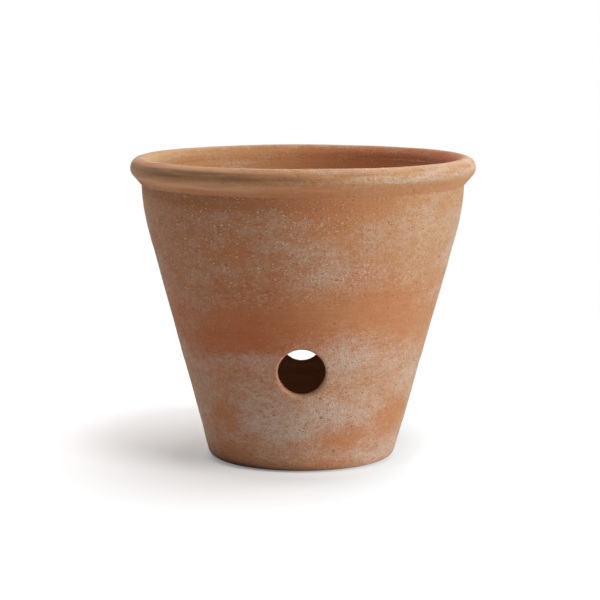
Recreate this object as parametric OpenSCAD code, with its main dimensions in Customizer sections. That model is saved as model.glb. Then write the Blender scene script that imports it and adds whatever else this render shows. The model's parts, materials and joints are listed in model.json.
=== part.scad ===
// Terracotta pot with a rolled rim and two opposite side holes.
// Millimetres. The pot stands on z = 0 and its axis is Z. The side holes run along Y.
// The clay pieces are the tapered wall, the floor disc wedged into its foot, and the
// rolled rim coil that straddles a tongue on the wall's top edge.

/* [Rim] */
// Outside diameter over the rolled rim
rim_d = 200; // [160:1:240]
// Radius of the rolled bead at the top of the rim
bead_r = 6; // [5:0.1:6.5]
// How far the bead stands out past the neck, on the radius
bead_overhang = 6.8; // [5:0.1:8]
// Height of the rim, from the neck to the top
rim_h = 15.6; // [15:0.1:18]

/* [Wall] */
// Height of the whole pot
pot_h = 176; // [150:1:210]
// Taper of the straight wall, in degrees from vertical
wall_taper = 15.2; // [8:0.1:18]
// Taper left at the neck, in degrees from vertical
neck_taper = 2; // [0:0.5:4]
// Radius of the arc that turns the straight wall up to the neck
shoulder_r = 120; // [80:1:160]
// Horizontal thickness of the wall at the neck
neck_t = 7.6; // [7:0.1:9]
// Horizontal thickness of the wall at the foot
foot_t = 10.6; // [9:0.1:12]
// Radius of the rounded edge under the foot
foot_round = 7.5; // [2:0.1:8]

/* [Floor] */
// Thickness of the floor disc
floor_t = 11; // [8:0.5:14]
// How far the floor's underside is set up above the foot ring
floor_recess = 1.5; // [1:0.1:3]
// Radius of the cove where the floor meets the inside of the wall
cove_r = 6; // [4:0.5:8]
// Thickness of the cove's top edge, where it lies against the wall
cove_lip = 1; // [0.8:0.1:2]

/* [Holes] */
// Diameter of the two side holes
side_hole_d = 28; // [16:0.5:32]
// Height of the side holes' common axis
side_hole_z = 60; // [50:1:90]
// Diameter of the drain hole in the floor
drain_hole_d = 22; // [12:1:30]

/* [Clay joints] */
// Thickness of the tongue on the wall's top edge
tongue_t = 3.6; // [3:0.1:4]
// Height of the tongue
tongue_h = 6; // [4:0.5:7]
// Clay left between the tongue and the inside face
tongue_inset = 3.2; // [3:0.1:3.5]

/* [Hidden] */
clay = "#b9764f";
arc_steps = 12;     // straight steps in the shoulder's arc
bead_step = 9;      // degrees in each straight step round the bead
turn_fn = 128;      // facets in a full turn, for the preview only

rim_r = rim_d / 2;
neck_r = rim_r - bead_overhang;
neck_z = pot_h - rim_h;
bead_c = [rim_r - bead_r, pot_h - bead_r];

// The shoulder arc's centre lies inside the pot, so that its outer face leans by neck_taper at the neck.
shoulder_c = [neck_r - shoulder_r * cos(neck_taper), neck_z + shoulder_r * sin(neck_taper)];
shoulder_end = shoulder_c + shoulder_r * [cos(wall_taper), -sin(wall_taper)];

tongue_r1 = neck_r - neck_t + tongue_inset;
tongue_root = 1;    // how far the tongue's outline reaches down into the wall

// Where, as an angle about the bead's centre, the straight underside from the neck touches the bead,
// and the first of the even steps round the bead after that
neck_to_bead = bead_c - [neck_r, neck_z];
bead_touch = atan2(neck_to_bead[1], neck_to_bead[0]) - 180 + acos(bead_r / norm(neck_to_bead));
first_step = ceil(bead_touch / bead_step + 0.1) * bead_step;

// Points along a circular arc about centre c, from angle a1 to angle a2
function arc(c, r, a1, a2) =
    [for (i = [0 : arc_steps]) let (a = a1 + (a2 - a1) * i / arc_steps) c + r * [cos(a), sin(a)]];

// The outer radius on the straight stretch of wall, at height z
function straight_r(z) = shoulder_end[0] - (shoulder_end[1] - z) * tan(wall_taper);

// The wall's horizontal thickness at height z, and the inside face that it leaves
function wall_t(z) = foot_t + (neck_t - foot_t) * z / neck_z;
function inner_r(z) = straight_r(z) - wall_t(z);
function inside_of(p) = [p[0] - wall_t(p[1]), p[1]];

// The shoulder, from the straight wall up to the neck, and the inside face from the neck down
shoulder_edge = arc(shoulder_c, shoulder_r, -wall_taper, -neck_taper);
inside_edge = [for (i = [arc_steps : -1 : 0]) inside_of(shoulder_edge[i])];

// The foot's rounding touches the ground and the straight wall
foot_c = [straight_r(foot_round) - foot_round / cos(wall_taper), foot_round];
foot_touch = foot_c + foot_round * [cos(wall_taper), -sin(wall_taper)];

// The cove touches the floor and rises to a narrow edge against the wall's inside face
floor_top = floor_recess + floor_t;
cove_top = floor_top + cove_r;
cove_c = [inner_r(cove_top) - cove_lip - cove_r, cove_top];

// A circle of radius r about a point of the outline
module round_at(c, r) {
    translate(c)
        circle(r = r, $fn = turn_fn);
}

// The rounded edge under the foot, from the ground up to the straight wall
module foot_edge() {
    intersection() {
        round_at(foot_c, foot_round);
        polygon([foot_c, [foot_c[0], 0], [straight_r(0), 0], foot_touch]);
    }
}

// The wall's section, without its tongue
module wall_outline() {
    polygon(concat(
        [[inner_r(0), 0], [foot_c[0], 0], foot_touch],
        shoulder_edge,
        inside_edge
    ));
    foot_edge();
}

// The tongue on top of the wall, with a rounded crest
module tongue_outline() {
    crest_z = neck_z + tongue_h - tongue_t / 2;
    translate([tongue_r1, neck_z - tongue_root])
        square([tongue_t, crest_z - neck_z + tongue_root]);
    round_at([tongue_r1 + tongue_t / 2, crest_z], tongue_t / 2);
}

// The floor disc's section: flat, with the cove cut out of its raised edge
module floor_outline() {
    difference() {
        polygon([
            [drain_hole_d / 2, floor_top],
            [drain_hole_d / 2, floor_recess],
            [inner_r(floor_recess), floor_recess],
            [inner_r(cove_top), cove_top],
            [cove_c[0], cove_top],
            [cove_c[0], floor_top]
        ]);
        round_at(cove_c, cove_r);
    }
}

// The rim's section: a bead over a straight underside and the top of the inside face
module rim_outline() {
    bead_angles = [bead_touch, each [first_step : bead_step : 180]];
    polygon(concat(
        [[neck_r - neck_t, neck_z], [neck_r, neck_z]],
        [for (a = bead_angles) bead_c + bead_r * [cos(a), sin(a)]]
    ));
}

// One cutter for both side holes, so that they share an axis
module side_hole_cutter() {
    translate([0, 0, side_hole_z])
        rotate([90, 0, 0])
            cylinder(h = rim_d, d = side_hole_d, center = true, $fn = turn_fn);
}

// The tapered wall with its foot ring, its side holes and the tongue that carries the rim
module wall() {
    color(clay)
        difference() {
            rotate_extrude($fn = turn_fn)
                union() {
                    wall_outline();
                    tongue_outline();
                }
            side_hole_cutter();
        }
}

// The floor disc. Its tapered edge wedges into the foot, and the drain hole goes through its middle.
module floor_disc() {
    color(clay)
        rotate_extrude($fn = turn_fn)
            floor_outline();
}

// The rolled rim, with a groove for the wall's tongue
module rim() {
    color(clay)
        rotate_extrude($fn = turn_fn)
            difference() {
                rim_outline();
                tongue_outline();
            }
}

wall();
floor_disc();  // floor
rim();
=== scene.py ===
"""A weathered terracotta pot with a rolled rim and two side holes, standing on a white studio floor.

Shapes are worked out in millimetres in the frame's own axes, and turned into metres as each mesh is made.
"""

import json
import math

import bmesh
import bpy
import numpy as np
from mathutils import Matrix, Vector, noise


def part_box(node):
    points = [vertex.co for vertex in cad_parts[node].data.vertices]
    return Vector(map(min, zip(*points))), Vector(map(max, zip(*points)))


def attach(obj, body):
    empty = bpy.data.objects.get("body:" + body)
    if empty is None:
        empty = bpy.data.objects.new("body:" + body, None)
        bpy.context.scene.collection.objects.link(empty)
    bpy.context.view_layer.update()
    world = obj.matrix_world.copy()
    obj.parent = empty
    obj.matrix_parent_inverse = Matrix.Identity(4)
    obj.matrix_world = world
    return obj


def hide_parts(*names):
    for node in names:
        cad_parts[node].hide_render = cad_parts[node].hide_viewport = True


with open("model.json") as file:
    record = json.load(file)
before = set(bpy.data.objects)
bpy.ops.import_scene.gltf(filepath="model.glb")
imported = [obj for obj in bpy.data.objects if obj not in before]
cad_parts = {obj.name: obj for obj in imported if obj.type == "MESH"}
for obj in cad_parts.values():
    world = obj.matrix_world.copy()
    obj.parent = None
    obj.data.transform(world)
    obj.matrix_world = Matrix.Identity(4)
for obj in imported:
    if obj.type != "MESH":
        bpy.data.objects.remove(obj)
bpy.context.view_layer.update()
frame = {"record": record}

MM = 0.001


# ---------------- dimensions
mounts = {m["name"]: m for m in frame["record"]["mounts"]}
rim_low, rim_high = (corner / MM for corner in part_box("rim"))
_, wall_high = (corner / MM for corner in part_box("wall"))
floor_low, floor_high = (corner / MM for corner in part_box("floor"))

RIM_R = rim_high.x
POT_H = rim_high.z
NECK_R = wall_high.x
NECK_Z = rim_low.z
TONGUE_TOP = wall_high.z
FLOOR_LOW = floor_low.z
COVE_TOP = floor_high.z
SIDE_HOLE_R = mounts["side_holes"]["dims"]["r_mm"]
SIDE_HOLE_Z = mounts["side_holes"]["pos_m"][2] / MM
DRAIN_R = mounts["drain_hole"]["dims"]["r_mm"]

BEAD_R = 6.0                # radius of the bead along the rim's top
WALL_TAPER = math.radians(15.2)
NECK_TAPER = math.radians(2.0)
SHOULDER_R = 120.0          # radius of the curve from the wall's straight part to its neck
NECK_T = 7.6                # the wall's thickness at the neck
FOOT_T = 10.6               # the wall's thickness at the foot
FOOT_ROUND = 7.5
FLOOR_T = 11.0
COVE_R = COVE_TOP - FLOOR_LOW - FLOOR_T
TONGUE_T = 3.6
TONGUE_INSET = 3.2          # how far the tongue stands from the inside of the neck
MOUTH_R = NECK_R - NECK_T   # inside radius at the neck
TONGUE_R1 = MOUTH_R + TONGUE_INSET
TONGUE_R2 = TONGUE_R1 + TONGUE_T
TONGUE_CREST = (TONGUE_R1 + TONGUE_T / 2, TONGUE_TOP - TONGUE_T / 2)

OUTER_EDGE_ROUND = 0.8      # rounding of a side hole's edge on the outside of the wall
LOWER_EDGE_ROUND = 2.2      # the same at the bottom of the hole, where it is most worn
INNER_EDGE_ROUND = 0.8
HOLE_ASIDE = 0.4            # how far the holes are cut to the left of the middle
HOLE_BURR = 1.6             # how far clay stands up in the bottom of a hole, at its inner end
DRAIN_EDGE_ROUND = 1.2
COVE_EDGE = 0.2             # how thin the cove's top edge is smeared out
FLOOR_OVERLAP = 0.3         # how far the floor's hidden edge reaches into the wall

AROUND = 400                # columns in a full turn
ROW_STEP = 1.35             # row spacing on the outside of the wall
INSIDE_STEP = 3.0           # row spacing on the inside, away from the holes
PATCH_HALF_Z = 23.0         # half height of the patch of wall that is reshaped around each side hole
PATCH_HALF_COLUMNS = 22
PATCH_RINGS = 7             # steps from a patch's border to the hole's edge
RING_CROWDING = 1.3         # above 1, these steps are closer together towards the hole
EDGE_RINGS = 5              # rings round each rounded edge of a hole
BORE_RINGS = 6              # rings between the two edges

SAME = 0.01                 # mm within which two places count as the same
CLOSE = 0.1                 # mm within which a place counts as close to an edge
RIM_INSIDE = 2.0            # how far out from the neck's inside the rim still counts as inside

BEAD_C = np.array([RIM_R - BEAD_R, POT_H - BEAD_R])
SHOULDER_C = np.array([
    NECK_R - SHOULDER_R * math.cos(NECK_TAPER),
    NECK_Z + SHOULDER_R * math.sin(NECK_TAPER),
])
SHOULDER_END = SHOULDER_C + SHOULDER_R * np.array([math.cos(WALL_TAPER), -math.sin(WALL_TAPER)])


def outer_r(z):
    """The wall's outside radius at height z, from the foot to the neck."""
    z = np.asarray(z, float)
    straight = SHOULDER_END[0] - (SHOULDER_END[1] - z) * math.tan(WALL_TAPER)
    curved = SHOULDER_C[0] + np.sqrt(np.maximum(SHOULDER_R**2 - (z - SHOULDER_C[1]) ** 2, 0))
    return np.where(z < SHOULDER_END[1], straight, curved)


def inner_r(z):
    """The wall's inside radius at height z."""
    z = np.asarray(z, float)
    return outer_r(z) - FOOT_T - (NECK_T - FOOT_T) * z / NECK_Z


FOOT_C = np.array([float(outer_r(FOOT_ROUND)) - FOOT_ROUND / math.cos(WALL_TAPER), FOOT_ROUND])


# ---------------- outlines
def line(start, end, step):
    """Points from start towards end, about step mm apart, leaving the end out."""
    start, end = np.asarray(start, float), np.asarray(end, float)
    count = max(1, round(np.linalg.norm(end - start) / step))
    return start + (end - start) * (np.arange(count) / count)[:, None]


def arc(centre, radius, from_deg, to_deg, step):
    """Points along an arc, about step mm apart, leaving the end out."""
    count = max(2, round(abs(math.radians(to_deg - from_deg)) * radius / step))
    angle = np.radians(from_deg + (to_deg - from_deg) * np.arange(count) / count)
    return np.asarray(centre) + radius * np.stack([np.cos(angle), np.sin(angle)], 1)


def face(radius_at, z_from, z_to, count):
    """Points up or down one side of the wall, leaving the last out."""
    z = z_from + (z_to - z_from) * np.arange(count) / count
    return np.stack([radius_at(z), z], 1)


def join(stretches):
    """One closed outline from its stretches, and the index at which each stretch starts."""
    starts = np.cumsum([0] + [len(s) for s in stretches[:-1]])
    return np.concatenate(stretches), starts


# ---------------- meshes
def turned_points(outline):
    """The outline's points in AROUND columns round the Z axis, numbered one row after another."""
    angle = np.arange(AROUND) * 2 * math.pi / AROUND
    r, z = outline[:, 0:1], outline[:, 1:2]
    return np.stack([r * np.cos(angle), r * np.sin(angle), z + 0 * angle], -1).reshape(-1, 3)


def grid_faces(rows, skip=()):
    """Quads that join each row of columns to the next, round both ways, less the skipped cells."""
    skipped = set(skip)
    return [
        (
            i * AROUND + j,
            i * AROUND + (j + 1) % AROUND,
            (i + 1) % rows * AROUND + (j + 1) % AROUND,
            (i + 1) % rows * AROUND + j,
        )
        for i in range(rows)
        for j in range(AROUND)
        if (i, j) not in skipped
    ]


def make_mesh(name, points, faces):
    """A closed mesh with its unused points left out and its faces pointing outwards."""
    used = np.unique(np.array(faces))
    renumber = np.full(len(points), -1)
    renumber[used] = np.arange(len(used))
    mesh = bpy.data.meshes.new(name)
    mesh.from_pydata(points[used].tolist(), [], renumber[np.array(faces)].tolist())
    shape = bmesh.new()
    shape.from_mesh(mesh)
    bmesh.ops.recalc_face_normals(shape, faces=shape.faces)
    shape.to_mesh(mesh)
    shape.free()
    mesh.update()
    return mesh


def turned_mesh(name, stretches):
    """A closed mesh made by turning one outline about the Z axis."""
    outline, _ = join(stretches)
    return make_mesh(name, turned_points(outline), grid_faces(len(outline)))


# ---------------- side holes
def columns_of_patch(facing):
    """The columns across the patch of wall round a side hole.

    facing is -1 for the front (-Y) and 1 for the back.
    """
    middle = AROUND * (3 if facing < 0 else 1) // 4
    return [(middle + k) % AROUND for k in range(-PATCH_HALF_COLUMNS, PATCH_HALF_COLUMNS + 1)]


def patch_border(rows, columns):
    """Point numbers once round the edge of a patch, given its rows from the bottom up and its columns."""
    loop = [(rows[0], column) for column in columns[:-1]]
    loop += [(row, columns[-1]) for row in rows[:-1]]
    loop += [(rows[-1], column) for column in reversed(columns[1:])]
    loop += [(row, columns[0]) for row in reversed(rows[1:])]
    return [row * AROUND + column for row, column in loop]


def on_wall(radius_at, facing, x, z):
    """Points of the wall's outside or inside face seen from the front at x, z."""
    y = facing * np.sqrt(radius_at(z) ** 2 - x**2)
    return np.stack([x, y, z], -1)


def hole_rings(facing, outer_border, inner_border):
    """Rings of points from the patch's outside border, through a side hole, to its inside border.

    The hole's edges are rounded over, and the bore runs straight along Y between them.
    """
    angle = np.arctan2(outer_border[:, 2] - SIDE_HOLE_Z, outer_border[:, 0])
    across = np.stack([np.cos(angle), np.sin(angle)], 1)
    centre = np.array([-HOLE_ASIDE, SIDE_HOLE_Z])
    worn = ease(-across[:, 1], 0, 1)
    outer_round = OUTER_EDGE_ROUND + (LOWER_EDGE_ROUND - OUTER_EDGE_ROUND) * worn
    inner_round = np.full(len(angle), INNER_EDGE_ROUND)
    burr = HOLE_BURR * worn

    def ring(radius_at, radius, sunk):
        xz = centre + radius[:, None] * across
        points = on_wall(radius_at, facing, xz[:, 0], xz[:, 1])
        points[:, 1] += sunk
        return points

    def fan(radius_at, radius, border):
        edge = centre + radius[:, None] * across
        for k in range(1, PATCH_RINGS):
            t = (k / PATCH_RINGS) ** RING_CROWDING
            xz = edge * (1 - t) + border[:, [0, 2]] * t
            yield on_wall(radius_at, facing, xz[:, 0], xz[:, 1])

    def rounded(radius_at, radius, edge_round, inward):
        for turn in np.radians(np.linspace(0, 90, EDGE_RINGS)):
            wider = edge_round * (1 - math.sin(turn))
            yield ring(radius_at, radius + wider, inward * edge_round * (1 - math.cos(turn)))

    outside = list(fan(outer_r, SIDE_HOLE_R + outer_round, outer_border))[::-1]
    outside += list(rounded(outer_r, SIDE_HOLE_R, outer_round, -facing))
    inside = list(rounded(inner_r, SIDE_HOLE_R - burr, inner_round, facing))[::-1]
    inside += list(fan(inner_r, SIDE_HOLE_R - burr + inner_round, inner_border))
    steps = np.arange(1, BORE_RINGS + 1)[:, None, None] / (BORE_RINGS + 1)
    bore = outside[-1] * (1 - steps) + inside[0] * steps
    return outside + list(bore) + inside


def pierce(points, faces, facing, outer_loop, inner_loop):
    """Adds the rings that join two border loops through the wall, and the faces between them."""
    rings = hole_rings(facing, points[outer_loop], points[inner_loop])
    count = len(outer_loop)
    numbers = [outer_loop]
    for ring in rings:
        numbers.append(list(range(len(points), len(points) + count)))
        points = np.concatenate([points, ring])
    numbers.append(inner_loop)
    for a, b in zip(numbers, numbers[1:]):
        for k in range(count):
            faces.append((a[k], a[(k + 1) % count], b[(k + 1) % count], b[k]))
    return points


# ---------------- the three pieces
def wall_mesh():
    """The tapered wall: foot ring, outside, tongue and inside in one turn, pierced front and back."""
    low, high = SIDE_HOLE_Z - PATCH_HALF_Z, SIDE_HOLE_Z + PATCH_HALF_Z
    foot_touch = FOOT_C + FOOT_ROUND * np.array([math.cos(WALL_TAPER), -math.sin(WALL_TAPER)])
    patch_rows = round(2 * PATCH_HALF_Z / ROW_STEP)
    crest_z = TONGUE_CREST[1]

    def rows(z_from, z_to, step):
        return max(1, round(abs(z_to - z_from) / step))

    stretches = [
        line((float(inner_r(0)), 0), (FOOT_C[0], 0), 2.0),
        arc(FOOT_C, FOOT_ROUND, -90, -math.degrees(WALL_TAPER), 0.8),
        face(outer_r, foot_touch[1], low, rows(foot_touch[1], low, ROW_STEP)),
        face(outer_r, low, high, patch_rows),
        face(outer_r, high, NECK_Z, rows(high, NECK_Z, ROW_STEP)),
        line((NECK_R, NECK_Z), (TONGUE_R2, NECK_Z), 1.0),
        line((TONGUE_R2, NECK_Z), (TONGUE_R2, crest_z), 2.0),
        arc(TONGUE_CREST, TONGUE_T / 2, 0, 180, 1.0),
        line((TONGUE_R1, crest_z), (TONGUE_R1, NECK_Z), 2.0),
        line((TONGUE_R1, NECK_Z), (MOUTH_R, NECK_Z), 1.6),
        face(inner_r, NECK_Z, high, rows(NECK_Z, high, INSIDE_STEP)),
        face(inner_r, high, low, patch_rows),
        face(inner_r, low, 0, rows(low, 0, INSIDE_STEP)),
    ]
    outline, starts = join(stretches)
    # The two stretches that the holes are cut through are the outside's second and the inside's second.
    outer_row, inner_row = starts[3], starts[11]
    points = turned_points(outline)
    cut, loops = [], []
    for facing in (-1, 1):
        columns = columns_of_patch(facing)
        for first in (outer_row, inner_row):
            cut += [(first + k, c) for k in range(patch_rows) for c in columns[:-1]]
        outer_rows = range(outer_row, outer_row + patch_rows + 1)
        inner_rows = range(inner_row, inner_row + patch_rows + 1)[::-1]
        loops.append((facing, patch_border(outer_rows, columns), patch_border(inner_rows, columns)))
    faces = grid_faces(len(outline), cut)
    for facing, outer_loop, inner_loop in loops:
        points = pierce(points, faces, facing, outer_loop, inner_loop)
    return make_mesh("wall", points, faces)


def rim_mesh():
    """The rolled rim: sloping underside, bead and inside face, with the groove for the wall's tongue."""
    neck, inside_neck = np.array([NECK_R, NECK_Z]), np.array([MOUTH_R, NECK_Z])
    crest_z = TONGUE_CREST[1]
    reach = BEAD_C - neck
    distance = np.linalg.norm(reach)
    touch_deg = math.degrees(math.atan2(reach[1], reach[0]) + math.acos(BEAD_R / distance)) - 180
    touch_turn = math.radians(touch_deg)
    touch = BEAD_C + BEAD_R * np.array([math.cos(touch_turn), math.sin(touch_turn)])
    stretches = [
        line(neck, touch, 0.8),
        arc(BEAD_C, BEAD_R, touch_deg, 180, 0.8),
        line(BEAD_C - [BEAD_R, 0], inside_neck, 1.2),
        line(inside_neck, (TONGUE_R1, NECK_Z), 1.6),
        line((TONGUE_R1, NECK_Z), (TONGUE_R1, crest_z), 2.0),
        arc(TONGUE_CREST, TONGUE_T / 2, 180, 0, 1.0),
        line((TONGUE_R2, crest_z), (TONGUE_R2, NECK_Z), 2.0),
        line((TONGUE_R2, NECK_Z), neck, 1.0),
    ]
    return turned_mesh("rim", stretches)


def floor_mesh():
    """The floor disc, with a cove up to the wall and a drain hole with rounded edges."""
    top = FLOOR_LOW + FLOOR_T
    cove_r = float(inner_r(COVE_TOP))
    low_corner = (float(inner_r(FLOOR_LOW)) + FLOOR_OVERLAP, FLOOR_LOW)
    high_corner = (cove_r + FLOOR_OVERLAP, COVE_TOP)
    cove_c = (cove_r - COVE_EDGE - COVE_R, COVE_TOP)
    edge = DRAIN_EDGE_ROUND
    stretches = [
        line((DRAIN_R + edge, FLOOR_LOW), low_corner, 2.0),
        line(low_corner, high_corner, 3.0),
        line(high_corner, (cove_r - COVE_EDGE, COVE_TOP), 1.0),
        arc(cove_c, COVE_R, 0, -90, 0.8),
        line((cove_c[0], top), (DRAIN_R + edge, top), 2.0),
        arc((DRAIN_R + edge, top - edge), edge, 90, 180, 0.5),
        line((DRAIN_R, top - edge), (DRAIN_R, FLOOR_LOW + edge), 1.5),
        arc((DRAIN_R + edge, FLOOR_LOW + edge), edge, 180, 270, 0.5),
    ]
    return turned_mesh("floor", stretches)


# ---------------- places on the surface
def turn_of(points):
    """Each point's angle round the pot in degrees: 0 at the front (-Y), rising towards +X."""
    return np.degrees(np.arctan2(points[:, 0], -points[:, 1]))


def roll_of(points):
    """Each point's angle round the rim's bead in degrees: 0 at its widest, 90 on top, 180 inside."""
    out = np.hypot(points[:, 0], points[:, 1]) - BEAD_C[0]
    return np.degrees(np.arctan2(points[:, 2] - BEAD_C[1], out))


def wander(points, up, around, octaves=2, shift=0):
    """Smooth noise from about -1 to 1.

    up and around are the sizes of its waves in those directions, in mm. shift moves the pattern, so that
    two things that use the same noise don't match.
    """
    scaled = (points + shift) / [around, around, up]
    return np.array([noise.fractal(Vector(place), 1.0, 2.0, octaves) for place in scaled])


def ease(value, low, high):
    """0 at low and 1 at high, with a smooth rise between them. low may be the larger of the two."""
    t = np.clip((value - low) / (high - low), 0, 1)
    return t * t * (3 - 2 * t)


def angle_between(turn, other):
    """How far turn lies from other, in degrees from -180 to 180."""
    return (turn - other + 180) % 360 - 180


# ---------------- relief
SWELL = 0.45                # how far the outside of the wall stands out
RIM_SWELL = 0.2             # and that of the rim
OUT_OF_ROUND = 0.1
OVAL_TURN = 25.0            # where round the pot it is widest, in degrees
LUMPS = (0.2, 26, 55)       # each is a height and the sizes of its waves, upwards and round the pot
TURNING = (0.09, 5, 90)
GRIT = (0.045, 4, 5)
THROWING_RINGS = 0.16       # height of the rings left inside
RING_PITCH = 7.5            # from one of them to the next
RINGS_FADE = 20.0           # how far below the neck they reach their full height
FADE_IN = 8.0               # how far from the join of wall and floor the relief inside is at full height
FOOT_FADE = (0.05, 3)       # heights over which the relief outside comes in
LEAN = 0.55                 # mm that the pot leans towards +X over its height
LEAN_LEVEL = 70.0           # height at which it is true
FOOT_ASIDE = 0.4            # how far the foot's worn edge sits towards -X
FOOT_BEND = (24.0, 3.0)     # heights over which that comes in


def waves(points, height, up, around):
    """Uneven waves of the given height, and of the given sizes upwards and round the pot."""
    return height * wander(points, up, around)


def relief(points):
    """How far the clay stands out at each point, in mm, from shaping and wiping by hand."""
    oval = OUT_OF_ROUND * np.cos(np.radians(2 * (turn_of(points) - OVAL_TURN)))
    swell = SWELL + (RIM_SWELL - SWELL) * ease(points[:, 2], NECK_Z, NECK_Z + BEAD_R)
    uneven = oval + waves(points, *LUMPS) + waves(points, *TURNING) + waves(points, *GRIT)
    return uneven + np.where(is_inside(points), 0, swell)


def throwing_rings(points):
    """The height of the shallow spiral left inside by the potter's fingers."""
    height = THROWING_RINGS * ease(points[:, 2], NECK_Z, NECK_Z - RINGS_FADE)
    return height * np.sin(2 * math.pi * (points[:, 2] / RING_PITCH + turn_of(points) / 360))


def in_neck_joint(points):
    """True on the faces where the wall and the rim meet, less the two edges that show."""
    r, z = np.hypot(points[:, 0], points[:, 1]), points[:, 2]
    flat = (abs(z - NECK_Z) < SAME) & (r > MOUTH_R + CLOSE) & (r < NECK_R - CLOSE)
    tongue_high = (z > NECK_Z) & (z < TONGUE_TOP + SAME)
    return flat | (tongue_high & (r > TONGUE_R1 - CLOSE) & (r < TONGUE_R2 + CLOSE))


def level_at_neck(points, normals):
    """Turns the normals at the neck's two shown edges level, so that wall and rim move together there."""
    r = np.hypot(points[:, 0], points[:, 1])
    level = points / r[:, None]
    level[:, 2] = 0
    at_neck = abs(points[:, 2] - NECK_Z) < SAME
    outer = at_neck & (abs(r - NECK_R) < SAME)
    inner = at_neck & (abs(r - MOUTH_R) < SAME)
    normals[outer] = level[outer]
    normals[inner] = -level[inner]
    return normals


def is_inside(points):
    """True on the pot's inside: the wall's inside face, and the rim inwards of its bead's top."""
    r = np.hypot(points[:, 0], points[:, 1])
    z = points[:, 2]
    middle = np.where(z < NECK_Z, (outer_r(z) + inner_r(z)) / 2, MOUTH_R + RIM_INSIDE)
    return r < middle


def shown_part(points):
    """How much of the relief each point takes: none in the joints and under the foot."""
    r, z = np.hypot(points[:, 0], points[:, 1]), points[:, 2]
    on_floor = r < inner_r(z) - COVE_EDGE - SAME
    from_wall, above_cove = ease(inner_r(z) - r, 1, FADE_IN), ease(z, COVE_TOP, COVE_TOP + FADE_IN)
    inside = is_inside(points) & (z < NECK_Z - SAME)
    share = np.where(inside, np.where(on_floor, from_wall, above_cove), ease(z, *FOOT_FADE))
    return np.where(in_neck_joint(points), 0, share)


def make_uneven(mesh):
    """Moves a mesh's points along their normals by the relief, and gives back where they were before."""
    count = len(mesh.vertices)
    points, normals = np.empty(count * 3), np.empty(count * 3)
    mesh.vertices.foreach_get("co", points)
    mesh.vertex_normals.foreach_get("vector", normals)
    points, normals = points.reshape(-1, 3), normals.reshape(-1, 3)
    normals = level_at_neck(points, normals)
    height = relief(points) + np.where(is_inside(points), throwing_rings(points), 0)
    moved = points + normals * (height * shown_part(points))[:, None]
    lean = LEAN * (points[:, 2] - LEAN_LEVEL) / POT_H
    moved[:, 0] += lean - FOOT_ASIDE * ease(points[:, 2], *FOOT_BEND)
    mesh.vertices.foreach_set("co", moved.ravel())
    mesh.update()
    return points


# ---------------- weathering
# Each value goes from 0 for none to 1 for full, unless it says otherwise.
BLOOM_BASE = 0.35           # how much of the wall the bloom covers away from its patches
BLOOM_LOWER = 0.10          # how much more it covers low down, where water soaks out
LOWER_PART = (78.0, 62.0)   # heights over which that comes in
BLOOM_UNEVEN = 0.06         # how far that cover goes up and down
EDGE_WANDER = 4.0           # how far the patches' edges wander, in degrees and in mm
RIM_BLOOM_BASE = 0.2        # the same base and unevenness on the rim
RIM_BLOOM_UNEVEN = 0.16
INSIDE_BLOOM_BASE = 0.03    # and inside
INSIDE_BLOOM_UNEVEN = 0.12
STREAK_WANDER = 7.0         # how far streaks on the rim wander, in degrees round the bead
RIM_STREAKS = (0.85, 0.75)  # how strong its patches are on the whole, and how far that goes up and down
WALL_STREAKS = (0.85, 0.4)  # the same for the wall's painted shade

WALL_TAN = 0.46             # how tan the wall is, from 0 for red to 1 for plain tan
WALL_LIT_SIDE_TAN = 0.13       # how much more so on the lit right, and less on the shaded left, as painted light
WALL_TAN_UNEVEN = 0.12
TAN_WANDER = 6.0            # how far the edges of its tan and red patches wander, in mm
RIM_TAN = 0.42
RIM_TAN_UNEVEN = 0.15
# how much more tan the rim's lit right side is, as painted light
RIM_LIT_SIDE_TAN = 0.3
BEAD_TAN = 0.3              # how much more tan the bead is than the slope below it
BEAD_PART = (-50, -20)      # degrees round the bead over which that comes in
BEAD_LIT_TOP_TAN = 0.12         # how much more than that the bead's lit top is, as painted light
BEAD_TOP_PART = (40, 75)
BEAD_INNER_PART = (80, 120)     # degrees round the bead over which it becomes the inside
RIGHT_PART = (-0.05, 0.6)   # how far to the right the rim's right side comes in
INSIDE_LIT_SIDE_TAN = 0.6            # how tan the inside is in the middle, as painted light: twice that on the lit left, none on the shaded right
MOST_TAN = 1.5              # how far past plain tan the yellowest clay goes

FLECKED_PART = (90.0, 122.0)    # heights over which most of the wall's pale flecks come in
FLECKS_LOW = 0.13           # how strongly they show below that
FLECKS_HIGH = 0.66          # how much more they show above it
FLECK_GLINTS_LEFT = 0.4           # how much stronger they show on the left, where grazing light catches the grains, and weaker on the right: painted highlight
FEW_FLECKS = 0.15           # how strongly they show inside and on the rim

BORE_EDGE = 0.5             # how far outside a side hole's radius its bore still counts, for painted shade and for no bloom, in mm
BORE_SHADE_DEPTH = 0.7            # how far through the wall the painted shade in the bore reaches its full strength
DEEP_SHADE_PART = (138.0, 84.0)   # heights over which the painted shade deep inside comes in
DEEP_SHADE_WANDER = 14.0          # how far its edge wanders, in mm

PATCH_EDGE = (1.5, 0.1)     # distance over which a patch comes in, in its half sizes
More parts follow.
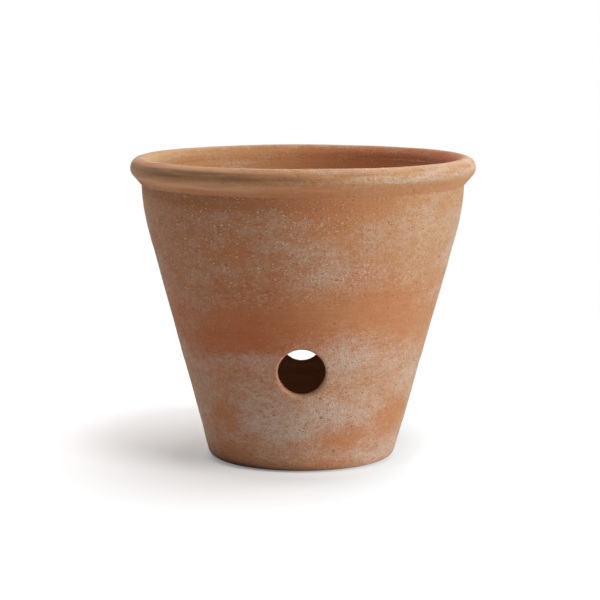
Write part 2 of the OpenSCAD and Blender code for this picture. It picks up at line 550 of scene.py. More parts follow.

# Patches of white bloom on the outside of the wall, those round its sides partly painted sheen. Each is its
# turn and height, half its width in degrees, half its height in mm, its strength, and, for one on a slant,
# how fast it climbs in mm per degree.
BLOOM_AND_SHEEN_PATCHES = [
    (19, 68, 14, 12, 0.62),
    (-3, 31, 42, 13, 0.45, 0.15),
    (17, 35, 12, 8, 0.35),
    (-8, 28, 20, 8, 0.25),
    (-20, 43, 15, 9, 0.3),
    (-64, 44, 15, 20, 0.2, -0.1),
    (-36, 60, 22, 10, 0.2),
    (68, 55, 17, 9, 0.5, 0.25),
    (60, 9, 22, 7, 0.45, 0.1),
    (36, 8, 13, 5, 0.3),
    (36, 62, 10, 8, 0.1),
    (33, 42, 12, 8, 0.2),
    (53, 66, 16, 9, 0.25),
    (-24, 66, 16, 6, 0.2),
    (12, 118, 12, 8, 0.35, 0.2),
    (47, 146, 13, 12, 0.2, 0.3),
    (-3, 132, 18, 7, 0.25, -0.3),
    (-12, 147, 11, 6, 0.1),
    (-36, 147, 11, 6, 0.1),
    # Patches round -90 and 90 degrees, on the sides seen edge-on from the front, are partly bloom and
    # partly painted sheen: clay whitening at a grazing view.
    (-94, 140, 26, 11, 0.55, 0.15),
    (-86, 116, 18, 12, 0.5, -0.2),
    (-98, 94, 26, 10, 0.45, 0.1),
    (-88, 66, 20, 13, 0.55, 0.15),
    (-96, 40, 24, 12, 0.55, -0.1),
    (-82, 22, 14, 10, 0.4),
    (94, 146, 28, 13, 0.65, 0.15),
    (86, 120, 20, 13, 0.72, -0.2),
    (94, 101, 26, 10, 0.55, 0.1),
    (84, 78, 14, 11, 0.45, -0.1),
    (98, 56, 30, 12, 0.6, 0.12),
    (84, 34, 16, 12, 0.6, -0.2),
    (94, 14, 26, 10, 0.7, 0.1),
    (24, 141, 6, 8, 0.2),
    (112, 58, 24, 14, 0.6, 0.3),
    (150, 34, 24, 11, 0.65, -0.2),
    (-164, 66, 16, 12, 0.7),
    (-126, 46, 26, 13, 0.5, 0.25),
    (178, 22, 26, 8, 0.4),
    (-102, 20, 18, 9, 0.45),
    (122, 130, 26, 10, 0.4, -0.4),
    (-152, 132, 24, 9, 0.45, 0.5),
    (-106, 136, 16, 12, 0.3),
    (166, 116, 15, 7, 0.35, 0.4),
]
# Spots that stay clean among the bloom, given the same way.
CLEAN_PATCHES = [
    (-22, 84, 36, 12, 1.0, 0.2),
    (8, 95, 40, 9, 0.85, 0.05),
    (34, 96, 16, 13, 0.8),
    (58, 85, 18, 11, 0.6, -0.1),
    (8, 157, 30, 7, 0.9),
    (14, 144, 9, 9, 0.5),
    (-34, 157, 30, 6, 0.5),
    (-25, 126, 8, 7, 0.35),
    (-22, 109, 15, 8, 0.3, 0.2),
    (-44, 32, 10, 11, 0.5),
    (-45, 10, 18, 9, 0.45),
    (-38, 57, 15, 9, 0.3),
    (60, 31, 18, 9, 0.7),
    (24, 19, 12, 6, 0.5, 0.1),
    (-12, 1, 50, 6, 0.5),
    (104, 92, 30, 11, 0.7),
    (172, 90, 40, 9, 0.8, 0.1),
    (-112, 90, 36, 11, 0.8, -0.1),
    (140, 14, 20, 8, 0.5),
    (-150, 152, 30, 9, 0.5),
    (108, 152, 20, 8, 0.5),
]
# Patches of bloom inside, given the same way.
INSIDE_BLOOM = [
    (-151, 164, 14, 6, 0.4),
    (-110, 140, 20, 9, 0.3, 0.2),
    (70, 148, 26, 8, 0.3, -0.2),
]
# Where the wall's clay has fired to tan, and where to red.
TAN_PATCHES = [
    (64, 144, 42, 36, 1.0),
    (74, 70, 20, 60, 0.4),
    (8, 124, 18, 14, 0.3),
    (28, 50, 34, 14, 0.3),
    (-60, 124, 16, 24, 0.2),
    (-160, 130, 50, 30, 0.5),
]
RED_PATCHES = [
    (-26, 78, 32, 20, 0.8, 0.1),
    (-24, 103, 20, 13, 0.4),
    (-70, 76, 26, 20, 0.5),
    (16, 28, 16, 12, 0.3),
    (150, 84, 40, 16, 0.6),
    (-128, 60, 26, 20, 0.5),
]
# Painted shade on the wall: under the rim and along the foot.
WALL_PAINTED_SHADE = [
    (-40, 158, 40, 7, 0.5),
    (-30, 0, 60, 5, 0.5),
    (120, 158, 40, 7, 0.4),
    (-160, 0, 80, 6, 0.5),
]

# The rim's patches are given by degrees round the pot and degrees round the bead.
RIM_BLOOM = [
    (6, 60, 7, 24, 0.4),
    (17, -4, 9, 14, 0.5),
    (30, 6, 15, 24, 0.4),
    (24, 38, 16, 28, 0.25),
    (46, 33, 9, 24, 0.7),
    (56, 6, 20, 26, 0.6),
    (40, -12, 16, 15, 0.45),
    (60, 80, 26, 34, 0.4),
    (20, 70, 16, 20, 0.2),
    (-16, 66, 16, 16, 0.1),
    (-78, -20, 12, 40, 0.6),
    (-80, 70, 10, 60, 0.4),
    (78, 20, 12, 60, 0.5),
    (180, 90, 75, 45, 0.25),
    (130, 20, 26, 30, 0.5),
    (-150, 30, 24, 26, 0.45),
]
RIM_CLEAN = [
    (-46, 36, 30, 30, 1.0),
    (0, -62, 60, 18, 0.8),
    (-48, 85, 18, 44, 1.0),
    (110, -50, 40, 24, 0.6),
    (170, 40, 26, 18, 0.6),
]
# Dark band along the bead: painted shade where it turns from the top light, and painted shadow under it at
# the neck, with some grime.
RIM_GRIME_AND_SHADE = [
    (-48, 16, 46, 24, 1.0),
    (-46, 32, 34, 9, 0.6),
    (-12, 6, 32, 15, 0.75),
    (10, 26, 34, 10, 0.5),
    (100, 10, 20, 16, 0.4),
    (-118, 24, 34, 13, 0.7),
    (176, 28, 28, 12, 0.6),
]
# Painted highlight along the bead's top, where the top light falls, and painted light on its underside,
# where the floor's light falls.
RIM_PAINTED_HIGHLIGHT = [
    (-22, 60, 34, 16, 0.9),
    (-66, 82, 18, 26, 0.9),
    (28, 68, 28, 15, 0.6),
    (-44, -50, 50, 30, 1.0),
    (0, 66, 110, 24, 0.5),
    (150, 66, 60, 16, 0.6),
    (-130, 66, 40, 16, 0.6),
]


def patches(turn, height, places):
    """How strongly any of the patches covers each point, from 0 to 1, with soft edges."""
    bare = np.ones_like(turn)
    for middle, level, half_turn, half_height, strength, *climb in places:
        across = angle_between(turn, middle)
        up = height - level - sum(climb) * across
        distance = np.hypot(across / half_turn, up / half_height)
        bare *= 1 - strength * ease(distance, *PATCH_EDGE)
    return 1 - bare


def overlaid(cover, more):
    """How much two covers laid over each other hide."""
    return 1 - (1 - cover) * (1 - more)


def to_right(turn):
    """-1 on the pot's left, 0 at its front and back, and 1 on its right."""
    return np.sin(np.radians(turn))


def wall_bloom_and_sheen(points, turn):
    """White bloom on the outside of the wall, partly painted sheen along its sides."""
    turn = turn + EDGE_WANDER * wander(points, 12, 24)
    height = points[:, 2] + EDGE_WANDER * wander(points, 10, 26, shift=300)
    lower = BLOOM_LOWER * ease(points[:, 2], *LOWER_PART)
    cover = BLOOM_BASE + lower + BLOOM_UNEVEN * wander(points, 9, 14, 4, shift=600)
    cover = overlaid(cover, patches(turn, height, BLOOM_AND_SHEEN_PATCHES))
    return cover * (1 - patches(turn, height, CLEAN_PATCHES))


def inside_bloom(points, turn):
    """White bloom inside."""
    cover = INSIDE_BLOOM_BASE + INSIDE_BLOOM_UNEVEN * wander(points, 5, 40, 3)
    return overlaid(cover, patches(turn, points[:, 2], INSIDE_BLOOM))


def streaks(points, strengths, up, around, shift):
    """An uneven strength, from its middle value and how far it goes up and down."""
    middle, uneven = strengths
    return middle + uneven * wander(points, up, around, 3, shift)


def rim_cover(points, turn, places, shift):
    """How strongly patches cover the rim, drawn out into streaks along it."""
    roll = roll_of(points) + STREAK_WANDER * wander(points, 4, 30, shift=shift)
    return patches(turn, roll, places) * streaks(points, RIM_STREAKS, 1.6, 22, 2 * shift)


def rim_bloom(points, turn):
    """White bloom on the rim."""
    cover = RIM_BLOOM_BASE + RIM_BLOOM_UNEVEN * wander(points, 2, 30, 4, shift=600)
    cover = overlaid(cover, rim_cover(points, turn, RIM_BLOOM, 100))
    return cover * (1 - np.clip(rim_cover(points, turn, RIM_CLEAN, 150), 0, 1))


def inside_lit_tan(turn):
    """How far the clay inside goes from red to tan: more on the lit left, as painted light."""
    return INSIDE_LIT_SIDE_TAN - INSIDE_LIT_SIDE_TAN * to_right(turn)


def wall_tan(points, turn):
    """How far the wall's clay goes from red to tan: outside, more on the lit right, as painted light."""
    height = points[:, 2] + TAN_WANDER * wander(points, 12, 30, shift=800)
    uneven = WALL_TAN_UNEVEN * wander(points, 25, 60, shift=900)
    outside = WALL_TAN + WALL_LIT_SIDE_TAN * to_right(turn) + uneven
    outside = overlaid(outside, patches(turn, height, TAN_PATCHES))
    outside *= 1 - patches(turn, height, RED_PATCHES)
    return np.where(is_inside(points), inside_lit_tan(turn), outside)


def rim_tan(points, turn):
    """How far the rim's clay goes from red to tan: more on the bead, and on its lit right and its lit top,
    as painted light.
    """
    roll = roll_of(points)
    on_bead = BEAD_TAN * ease(roll, *BEAD_PART) + BEAD_LIT_TOP_TAN * ease(roll, *BEAD_TOP_PART)
    on_right = RIM_LIT_SIDE_TAN * ease(to_right(turn), *RIGHT_PART)
    uneven = RIM_TAN_UNEVEN * wander(points, 8, 40, shift=900)
    outside = RIM_TAN + on_bead + on_right + uneven
    on_inside = ease(roll, *BEAD_INNER_PART)
    inside = np.where(points[:, 2] < BEAD_C[1], is_inside(points), on_inside)
    return outside + (inside_lit_tan(turn) - outside) * inside


def in_bore(points):
    """0 outside the side holes, rising from their outer edges inwards to 1."""
    from_axis = np.hypot(points[:, 0] + HOLE_ASIDE, points[:, 2] - SIDE_HOLE_Z)
    r, outer = np.hypot(points[:, 0], points[:, 1]), outer_r(points[:, 2])
    depth = (outer - r) / (outer - inner_r(points[:, 2]))
    return np.where(from_axis < SIDE_HOLE_R + BORE_EDGE, ease(depth, 0, BORE_SHADE_DEPTH), 0)


def wall_flecks(points, turn):
    """How strongly the pale flecks show on the wall: most on the upper part outside, and more on its left,
    where that extra is painted highlight from grazing light on the grains.
    """
    by_height = FLECKS_LOW + FLECKS_HIGH * ease(points[:, 2], *FLECKED_PART)
    return np.where(is_inside(points), FEW_FLECKS, by_height * (1 - FLECK_GLINTS_LEFT * to_right(turn)))


def wall_painted_shade(points, turn):
    """Painted shade on the wall under the rim and along the foot, and in the bores of the side holes."""
    outside = patches(turn, points[:, 2], WALL_PAINTED_SHADE) * streaks(points, WALL_STREAKS, 2, 22, 400)
    # painted shade that deepens into the bores of the side holes
    return np.maximum(outside, in_bore(points))


def painted_deep_shade(points):
    """Painted shade that darkens the inside from partway down, up to an uneven line."""
    height = points[:, 2] + DEEP_SHADE_WANDER * wander(points, 16, 45, 3)
    return np.where(is_inside(points), ease(height, *DEEP_SHADE_PART), 0)


def wall_layers(points, turn):
    """How weathered each point of the wall or the floor is, in each way."""
    bloom = np.where(is_inside(points), inside_bloom(points, turn), wall_bloom_and_sheen(points, turn))
    return {
        "bloom": bloom * (1 - in_bore(points)),
        # painted shade under the rim, along the foot and in the side holes
        "grime": wall_painted_shade(points, turn),
        "pale": np.zeros_like(turn),
        "tan": wall_tan(points, turn),
        "flecks": wall_flecks(points, turn),
    }


def rim_layers(points, turn):
    """The same for the rim."""
    inside = is_inside(points) & (points[:, 2] < BEAD_C[1])
    return {
        "bloom": np.where(inside, inside_bloom(points, turn), rim_bloom(points, turn)),
        # painted shade and shadow along the bead, with some grime
        "grime": rim_cover(points, turn, RIM_GRIME_AND_SHADE, 200),
        # painted highlight on the bead's top and painted light under it
        "pale": rim_cover(points, turn, RIM_PAINTED_HIGHLIGHT, 250),
        "tan": rim_tan(points, turn),
        "flecks": np.full_like(turn, FEW_FLECKS),
    }


def weather(mesh, points, layers_of):
    """Stores how weathered each point is, for the material to use."""
    layers = layers_of(points, turn_of(points))
    # painted shade deep inside the pot
    layers["soil"] = painted_deep_shade(points)
    for name, values in layers.items():
        layer = mesh.attributes.new(name, "FLOAT", "POINT")
        layer.data.foreach_set("value", np.clip(values, 0, MOST_TAN if name == "tan" else 1))


# ---------------- nodes
def add(tree, kind, inputs=None, **settings):
    """A node of this kind. An input given as a socket is joined to it; any other is a fixed value."""
    made = tree.nodes.new("ShaderNode" + kind)
    for name, value in settings.items():
        setattr(made, name, value)
    for name, value in (inputs or {}).items():
        if isinstance(value, bpy.types.NodeSocket):
            tree.links.new(value, made.inputs[name])
        else:
            made.inputs[name].default_value = value
    return made


def reckon(tree, operation, a, b=0.0, c=0.0):
    """One step of arithmetic on two or three values."""
    return add(tree, "Math", {0: a, 1: b, 2: c}, operation=operation).outputs[0]


def plus(tree, a, b):
    """a + b"""
    return reckon(tree, "ADD", a, b)


def times(tree, a, b):
    """a * b"""
    return reckon(tree, "MULTIPLY", a, b)


def times_plus(tree, a, b, c):
    """a * b + c"""
    return reckon(tree, "MULTIPLY_ADD", a, b, c)


def swing(tree, noise_value, amount, middle=0.0):
    """middle, give or take half of amount, as noise_value goes from 0 to 1."""
    return times_plus(tree, noise_value, amount, middle - amount / 2)


def between(tree, share, ends):
    """The first of two numbers going over to the second as share goes from 0 to 1."""
    start, end = ends
    return times_plus(tree, share, end - start, start)


def eased(tree, value, low, high):
    """0 at low and 1 at high, with a smooth rise between them."""
    inputs = {"Value": value, "From Min": low, "From Max": high}
    return add(tree, "MapRange", inputs, interpolation_type="SMOOTHSTEP").outputs[0]


def blended(tree, share, a, b):
    """Colour a going over to colour b as share goes from 0 to 1."""
    return add(tree, "Mix", {0: share, 6: a, 7: b}, data_type="RGBA", clamp_factor=False).outputs[2]


def shaded(tree, colour, by):
    """A colour made darker or lighter."""
    return add(tree, "VectorMath", {0: colour, "Scale": by}, operation="SCALE").outputs[0]


def stored(tree, name):
    """A value stored on the mesh's points."""
    return add(tree, "Attribute", attribute_name=name).outputs["Fac"]


def in_mm(tree, up, around):
    """Places on the object, scaled so that one unit is up mm in height and around mm sideways."""
    place = add(tree, "TexCoord").outputs["Object"]
    scale = (1 / (around * MM), 1 / (around * MM), 1 / (up * MM))
    return add(tree, "VectorMath", {0: place, 1: scale}, operation="MULTIPLY").outputs[0]


# ---------------- material
CLAY_RED = (0.55, 0.155, 0.058, 1)
CLAY_TAN = (0.565, 0.295, 0.13, 1)
BLOOM_WHITE = (0.665, 0.50, 0.39, 1)
FLECK_PALE = (0.86, 0.48, 0.28, 1)
# the colour of the painted highlight on the rim
HIGHLIGHT_PALE = (0.77, 0.40, 0.215, 1)
PIT_BROWN = (0.13, 0.05, 0.025, 1)
# the colour of grime and of painted shade
GRIME_AND_SHADE_BROWN = (0.17, 0.095, 0.058, 1)
# the colour of the painted shade deep inside the pot
DEEP_SHADE_BROWN = (0.056, 0.016, 0.005, 1)
SHEEN_TINT = (1, 0.93, 0.82, 1)

# Noise: the sizes of its waves in mm, upwards and sideways, and how many finer sizes are laid over them.
FINE = (0.65, 1.0, 2.0)
COARSE = (1.9, 2.6, 3.0)
WIPING = (0.8, 24, 3.0)
CLOUDS = (7, 11, 4.0)
CLUMPS = (3.0, 6.0, 3.0)
RAGGED = (0.6, 0.9, 1.0)
NOISE_ROUGHNESS = 0.6

# Dots of two sizes: how far apart they are and their radius in mm, and the share of them that shows.
FLECKS = [(2.6, 0.85, 0.5), (1.6, 0.6, 0.55)]
PITS = [(2.1, 0.5, 0.3), (5.3, 0.85, 0.25)]
DOTS_SIDEWAYS = 1.6         # how much farther apart they are sideways
DOT_RAGGED = 2.0            # how far their edges are pushed about, in radii
DOT_EDGE = (2.0, 1.35)      # distance over which they come in, in radii, with that push counted in

# How far each kind of noise moves the clay between red and tan, or its brightness.
CLOUDS_TAN = 0.5
COARSE_MOTTLE = 0.24
FINE_MOTTLE = 0.14
WIPING_MOTTLE = 0.3
CLAY_BRIGHTNESS = 0.95
BLOOM_GRIT = 1.1            # the same for the fine grain of full bloom

# How far each kind of noise moves the edge of the bloom.
FINE_POWDER = 0.5
COARSE_POWDER = 0.6
CLOUDS_POWDER = 0.5
CLUMPS_POWDER = 1.0

# Where each layer comes in, and how much it hides where it is full.
BLOOM_EDGE = (0.12, 1.05)
BLOOM_COVER = 0.9
GRIME_AND_SHADE_EDGE = (0.1, 0.95)
GRIME_AND_SHADE_COVER = 0.6
DEEP_SHADE_EDGE = (0.12, 0.75)
DEEP_SHADE_COVER = 0.94
DEEP_SHADE_UNEVEN = 0.35          # how far the bloom's powder shows in the edge of the painted deep shade
HIGHLIGHT_COVER = 0.9
FLECK_STRENGTH = 1.6
FLECKS_ON_TAN = -0.8        # how much less the flecks' colour shows on tan clay
FLECKS_LEAST = 0.1

# Numbers on bare clay and on full bloom. The bump's are heights in mm.
PITS_SHOWN = (0.22, 0.72)
FLECKS_SHOWN = (0.7, 1.6)
FINE_BUMP = (0.06, 0.81)
COARSE_BUMP = (0.08, 0.48)
COARSE_BUMP_FULL = 0.45     # amount of bloom past which the coarse bump stays as it is
BLOOM_ROUGHNESS = 0.08      # how much rougher the bloom is
CLAY_ROUGHNESS = 0.85
COARSE_ROUGHNESS = 0.1      # how far the coarse grain moves it

WIPING_BUMP = 0.10
BLOOM_BUMP = 0.05
PIT_BUMP = -0.16
FLECK_BUMP = 0.28

# Numbers on bare clay and where the painted deep shade is full.
SHINE = (0.25, 0.05)
SHEEN = (0.15, 0.0)
SHEEN_ROUGHNESS = 0.5


def grain(tree, up, around, detail):
    """Noise from 0 to 1 with waves of about up mm in height and around mm sideways."""
    inputs = {
        "Vector": in_mm(tree, up, around),
        "Scale": 1.0,
        "Detail": detail,
        "Roughness": NOISE_ROUGHNESS,
    }
    return add(tree, "TexNoise", inputs).outputs[0]


def dots(tree, spacing, radius, kept):
    """Ragged dots at random places. kept is the share of them that shows."""
    places = in_mm(tree, spacing, spacing * DOTS_SIDEWAYS)
    cells = add(tree, "TexVoronoi", {"Vector": places, "Scale": 1.0})
    size = radius / spacing
    distance = times_plus(tree, grain(tree, *RAGGED), DOT_RAGGED * size, cells.outputs["Distance"])
    disc = eased(tree, distance, size * DOT_EDGE[0], size * DOT_EDGE[1])
    draw = add(tree, "SeparateColor", {0: cells.outputs["Color"]}).outputs[0]
    return times(tree, disc, reckon(tree, "LESS_THAN", draw, kept))


def scattered(tree, sizes):
    """Dots of two sizes together."""
    one, other = sizes
    return reckon(tree, "MAXIMUM", dots(tree, *one), dots(tree, *other))


def bare_clay(tree, fine, coarse, wiping, cloud):
    """The clay's own colour, from red to tan, mottled by its grain and by wiping."""
    tan = plus(tree, stored(tree, "tan"), swing(tree, cloud, CLOUDS_TAN))
    grains = swing(tree, coarse, COARSE_MOTTLE, CLAY_BRIGHTNESS)
    grains = plus(tree, grains, swing(tree, fine, FINE_MOTTLE))
    mottle = times(tree, grains, swing(tree, wiping, WIPING_MOTTLE, 1.0))
    return shaded(tree, blended(tree, tan, CLAY_RED, CLAY_TAN), mottle)


def fleck_colour_share(tree, bloom):
    """How much of the flecks' colour shows: most on bloom and least on tan clay."""
    on_tan = times(tree, stored(tree, "tan"), FLECKS_ON_TAN)
    share = plus(tree, between(tree, bloom, FLECKS_SHOWN), on_tan)
    return reckon(tree, "MAXIMUM", share, FLECKS_LEAST)


def powder(tree, fine, coarse, cloud, bloom):
    """How far the bloom covers more or less than its stored strength, from place to place."""
    grains = plus(tree, swing(tree, fine, FINE_POWDER), swing(tree, coarse, COARSE_POWDER))
    grains = plus(tree, grains, swing(tree, cloud, CLOUDS_POWDER))
    clumps = swing(tree, grain(tree, *CLUMPS), CLUMPS_POWDER)
    return times_plus(tree, clumps, bloom, grains)


def bump(tree, fine, coarse, wiping, bloom, extras):
    """The clay's small relief. extras are further layers, each with its height in mm."""
    coarse_share = reckon(tree, "MINIMUM", bloom, COARSE_BUMP_FULL)
    height = times(tree, coarse, between(tree, coarse_share, COARSE_BUMP))
    height = times_plus(tree, fine, between(tree, bloom, FINE_BUMP), height)
    height = times_plus(tree, wiping, WIPING_BUMP, height)
    for layer, layer_height in extras:
        height = times_plus(tree, layer, layer_height, height)
    return add(tree, "Bump", {"Strength": 1.0, "Distance": MM, "Height": height}).outputs["Normal"]


def terracotta():
    """Fired clay with wiping marks, pits, pale flecks, lime bloom and grime, with painted shade, a painted
    highlight on the rim, and painted shade deep inside.
    """
    material = bpy.data.materials.new("terracotta")
    material.use_nodes = True
    tree = material.node_tree

    fine, coarse = grain(tree, *FINE), grain(tree, *COARSE)
    wiping, cloud = grain(tree, *WIPING), grain(tree, *CLOUDS)
    bloom = stored(tree, "bloom")
    fleck_strength = times(tree, stored(tree, "flecks"), FLECK_STRENGTH)
    flecks = times(tree, scattered(tree, FLECKS), fleck_strength)
    pits = scattered(tree, PITS)
    loose = powder(tree, fine, coarse, cloud, bloom)
    cover = eased(tree, plus(tree, bloom, loose), *BLOOM_EDGE)
    # Grime and painted shade: the band along the rim's bead, and the wall's shade under the rim, along the
    # foot and in the side holes.
    grime = plus(tree, stored(tree, "grime"), swing(tree, wiping, 1.0))
    grime = eased(tree, grime, *GRIME_AND_SHADE_EDGE)
    # Painted shade deep inside the pot, its edge broken by the bloom's powder.
    deep_shade_share = times_plus(tree, loose, DEEP_SHADE_UNEVEN, stored(tree, "soil"))
    deep_shade_share = eased(tree, deep_shade_share, *DEEP_SHADE_EDGE)

    clay = bare_clay(tree, fine, coarse, wiping, cloud)
    clay = blended(tree, times(tree, flecks, fleck_colour_share(tree, bloom)), clay, FLECK_PALE)
    # Painted highlight on the rim's top, and painted light on its underside.
    clay = blended(tree, times(tree, stored(tree, "pale"), HIGHLIGHT_COVER), clay, HIGHLIGHT_PALE)
    clay = blended(tree, times(tree, cover, BLOOM_COVER), clay, BLOOM_WHITE)
    clay = shaded(tree, clay, times_plus(tree, swing(tree, fine, BLOOM_GRIT), bloom, 1.0))
    clay = blended(tree, times(tree, pits, between(tree, bloom, PITS_SHOWN)), clay, PIT_BROWN)
    # Painted shade and shadow, with some grime on the rim.
    clay = blended(tree, times(tree, grime, GRIME_AND_SHADE_COVER), clay, GRIME_AND_SHADE_BROWN)
    clay = blended(tree, times(tree, deep_shade_share, DEEP_SHADE_COVER), clay, DEEP_SHADE_BROWN)

    grainy = swing(tree, coarse, COARSE_ROUGHNESS, CLAY_ROUGHNESS)
    extras = [(cover, BLOOM_BUMP), (pits, PIT_BUMP), (flecks, FLECK_BUMP)]
    driven = {
        "Base Color": clay,
        "Roughness": times_plus(tree, cover, BLOOM_ROUGHNESS, grainy),
        "Normal": bump(tree, fine, coarse, wiping, bloom, extras),
        "Specular IOR Level": between(tree, deep_shade_share, SHINE),
        "Sheen Weight": between(tree, deep_shade_share, SHEEN),
    }
    surface = tree.nodes["Principled BSDF"]
    for name, value in driven.items():
        tree.links.new(value, surface.inputs[name])
    surface.inputs["Sheen Roughness"].default_value = SHEEN_ROUGHNESS
    surface.inputs["Sheen Tint"].default_value = SHEEN_TINT
    return material


# ---------------- the pot
SHARP_EDGE = math.radians(35)   # edges sharper than this are shown as edges


def add_piece(name, mesh, node, material, layers_of):
    """One finished piece of the pot, riding on the part's body in place of its plain CAD solid."""
    weather(mesh, make_uneven(mesh), layers_of)
    mesh.transform(Matrix.Scale(MM, 4))
    mesh.polygons.foreach_set("use_smooth", [True] * len(mesh.polygons))
    mesh.set_sharp_from_angle(angle=SHARP_EDGE)
    mesh.materials.append(material)
    piece = bpy.data.objects.new(name, mesh)
    pot.objects.link(piece)
    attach(piece, "root")
    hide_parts(node)


pot = bpy.data.collections.new("pot")
bpy.context.scene.collection.children.link(pot)
fired_clay = terracotta()
add_piece("pot_wall", wall_mesh(), "wall", fired_clay, wall_layers)
add_piece("pot_rim", rim_mesh(), "rim", fired_clay, rim_layers)
add_piece("pot_floor", floor_mesh(), "floor", fired_clay, wall_layers)


# ---------------- studio
# Lengths in this part are in metres, and distances over which something changes are from the pot's axis.
WHITE = (1, 1, 1, 1)
STUDIO_HALF = 30.0
PAPER_FADE = (0.36, 0.7)    # where the paper goes over to plain white
RIGHT_SIDE = (-0.02, 0.06)  # where the lit side begins, along X
BY_POT = (0.25, 0.06)       # where the pot's red light reaches the paper
PAPER_BY_POT = (0.98, 1.06, 1.09, 1)    # the paper's colour there on the lit side, to offset it
UNDER_EDGE = (0.075, 0.056)     # where painted light on the paper stands in for low light reaching in under the foot's edge
PAINTED_LOW_LIGHT = 0.9             # how bright that painted light is
PAINTED_LOW_LIGHT_SHARE = (0.25, 0.75)  # how much of it shows on the left and on the right
FLOOR_GLOW = 0.56           # how brightly the paper lights the pot
FOOT_SHADE = (0.045, 0.07)  # where the paper comes out of the foot's shade, from SHADE_MIDDLE
SHADE_MIDDLE = (-0.012, 0, 0)
ROOM_GLOW = 0.15            # how brightly the room lights the pot
LAMP_AIM = Vector((0, 0, 0.09))
LAMP_DISTANCE = 1.6

# Each lamp's turn round the pot and height above the horizon in degrees, its width, and its watts.
POT_LAMPS = [
    (75, 10, 0.6, 14.2),
    (50, 10, 0.6, 3.4),
    (25, 70, 0.6, 10.3),
    (160, 30, 0.6, 12.0),
    (-140, 40, 0.6, 7.4),
]
PAPER_LAMPS = [
    (180, 60, 2.5, 16.4),
    (20, 65, 1.4, 11.3),
    (140, 65, 1.4, 7.6),
    (20, 65, 0.5, 7.2),
]


def seen_or_lit(tree, seen, lit):
    """One shader for what the camera sees, and another for the light that falls on everything else."""
    camera = add(tree, "LightPath").outputs["Is Camera Ray"]
    return add(tree, "MixShader", {0: camera, 1: lit, 2: seen}).outputs[0]


def seen_paper(tree, place):
    """The paper as the camera sees it: shaded near the pot, with painted light by the foot, and plain white
    farther off.
    """
    distance = add(tree, "VectorMath", {0: place}, operation="LENGTH").outputs["Value"]
    on_right = eased(tree, add(tree, "SeparateXYZ", {0: place}).outputs["X"], *RIGHT_SIDE)
    by_pot = times(tree, on_right, eased(tree, distance, *BY_POT))
    sheet = add(tree, "BsdfDiffuse", {"Color": blended(tree, by_pot, WHITE, PAPER_BY_POT)}).outputs[0]
    # Painted light: a glow on the paper by the foot, in place of low light reaching in under its edge.
    painted_low_light = add(tree, "Emission", {"Strength": PAINTED_LOW_LIGHT}).outputs[0]
    painted_light_share = between(tree, on_right, PAINTED_LOW_LIGHT_SHARE)
    painted_light_share = times(tree, painted_light_share, eased(tree, distance, *UNDER_EDGE))
    sheet = add(tree, "MixShader", {0: painted_light_share, 1: sheet, 2: painted_low_light}).outputs[0]
    plain = add(tree, "Emission", {"Strength": 1.0}).outputs[0]
    return add(tree, "MixShader", {0: eased(tree, distance, *PAPER_FADE), 1: sheet, 2: plain}).outputs[0]


def glowing_paper(tree, place):
    """The paper as a light under the pot, dark in the foot's shade."""
    settings = {0: place, 1: SHADE_MIDDLE}
    from_shade = add(tree, "VectorMath", settings, operation="DISTANCE").outputs["Value"]
    glow = times(tree, eased(tree, from_shade, *FOOT_SHADE), FLOOR_GLOW)
    return add(tree, "Emission", {"Strength": glow}).outputs[0]


def paper():
    """Matt white paper."""
    material = bpy.data.materials.new("paper")
    material.use_nodes = True
    tree = material.node_tree
    tree.nodes.clear()
    place = add(tree, "TexCoord").outputs["Object"]
    surface = seen_or_lit(tree, seen_paper(tree, place), glowing_paper(tree, place))
    tree.links.new(surface, add(tree, "OutputMaterial").inputs["Surface"])
    return material


def floor_sheet():
    """The level sheet of paper that the pot stands on."""
    far = STUDIO_HALF
    corners = [(-far, -far, 0), (far, -far, 0), (far, far, 0), (-far, far, 0)]
    mesh = bpy.data.meshes.new("paper")
    mesh.from_pydata(corners, [], [(0, 1, 2, 3)])
    mesh.materials.append(paper())
    sheet = bpy.data.objects.new("paper", mesh)
    studio.objects.link(sheet)


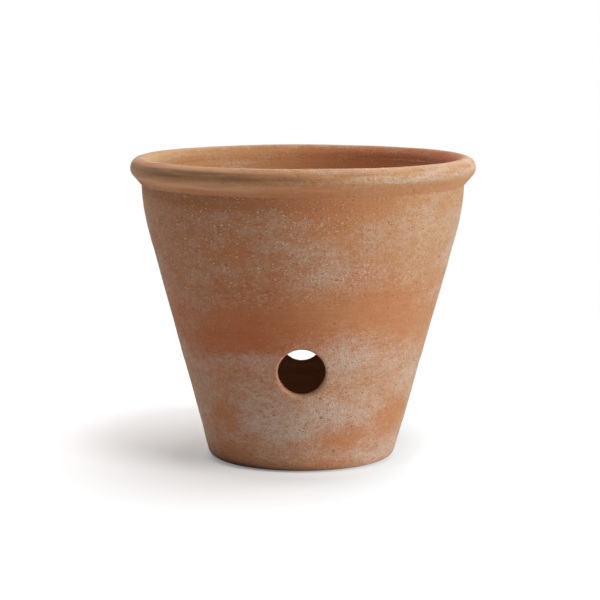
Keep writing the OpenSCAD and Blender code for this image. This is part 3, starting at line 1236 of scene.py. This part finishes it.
def room():
    """White behind everything, with a faint even light from all round."""
    world = bpy.data.worlds.new("room")
    world.use_nodes = True
    tree = world.node_tree
    tree.nodes.clear()
    seen = add(tree, "Background", {"Strength": 1.0, "Color": WHITE}).outputs[0]
    lit = add(tree, "Background", {"Strength": ROOM_GLOW, "Color": WHITE}).outputs[0]
    tree.links.new(seen_or_lit(tree, seen, lit), add(tree, "OutputWorld").inputs["Surface"])
    bpy.context.scene.world = world


def lamp(name, place, width, watts, lights):
    """A round soft lamp aimed at the pot that lights only the things in one collection."""
    light = bpy.data.lights.new(name, "AREA")
    light.shape = "DISK"
    light.size = width
    light.energy = watts
    body = bpy.data.objects.new(name, light)
    body.location = place
    body.rotation_euler = (LAMP_AIM - place).to_track_quat("-Z", "Y").to_euler()
    body.visible_camera = False
    body.light_linking.receiver_collection = lights
    bpy.context.scene.collection.objects.link(body)


def lamp_place(turn, height):
    """Where a lamp stands, from its turn round the pot and its height above the horizon in degrees."""
    turn, height = math.radians(turn), math.radians(height)
    level = math.cos(height)
    outwards = Vector((math.sin(turn) * level, -math.cos(turn) * level, math.sin(height)))
    return LAMP_AIM + outwards * LAMP_DISTANCE


studio = bpy.data.collections.new("studio")
bpy.context.scene.collection.children.link(studio)
floor_sheet()
room()
for turn, height, width, watts in POT_LAMPS:
    lamp("pot_lamp", lamp_place(turn, height), width, watts, pot)
for turn, height, width, watts in PAPER_LAMPS:
    lamp("paper_lamp", lamp_place(turn, height), width, watts, studio)


# ---------------- camera
CAMERA_PLACE = (-0.0014, -1.48987, 0.29053)
CAMERA_DOWN = 7.59          # degrees below the horizon
CAMERA_LENS = 154.35        # mm
SENSOR_WIDTH = 36.0         # mm

camera = bpy.data.objects.new("camera", bpy.data.cameras.new("camera"))
camera.location = CAMERA_PLACE
camera.rotation_euler = (math.radians(90 - CAMERA_DOWN), 0, 0)
camera.data.lens = CAMERA_LENS
camera.data.sensor_width = SENSOR_WIDTH
bpy.context.scene.collection.objects.link(camera)
bpy.context.scene.camera = camera
bpy.context.scene.view_settings.view_transform = "Standard"
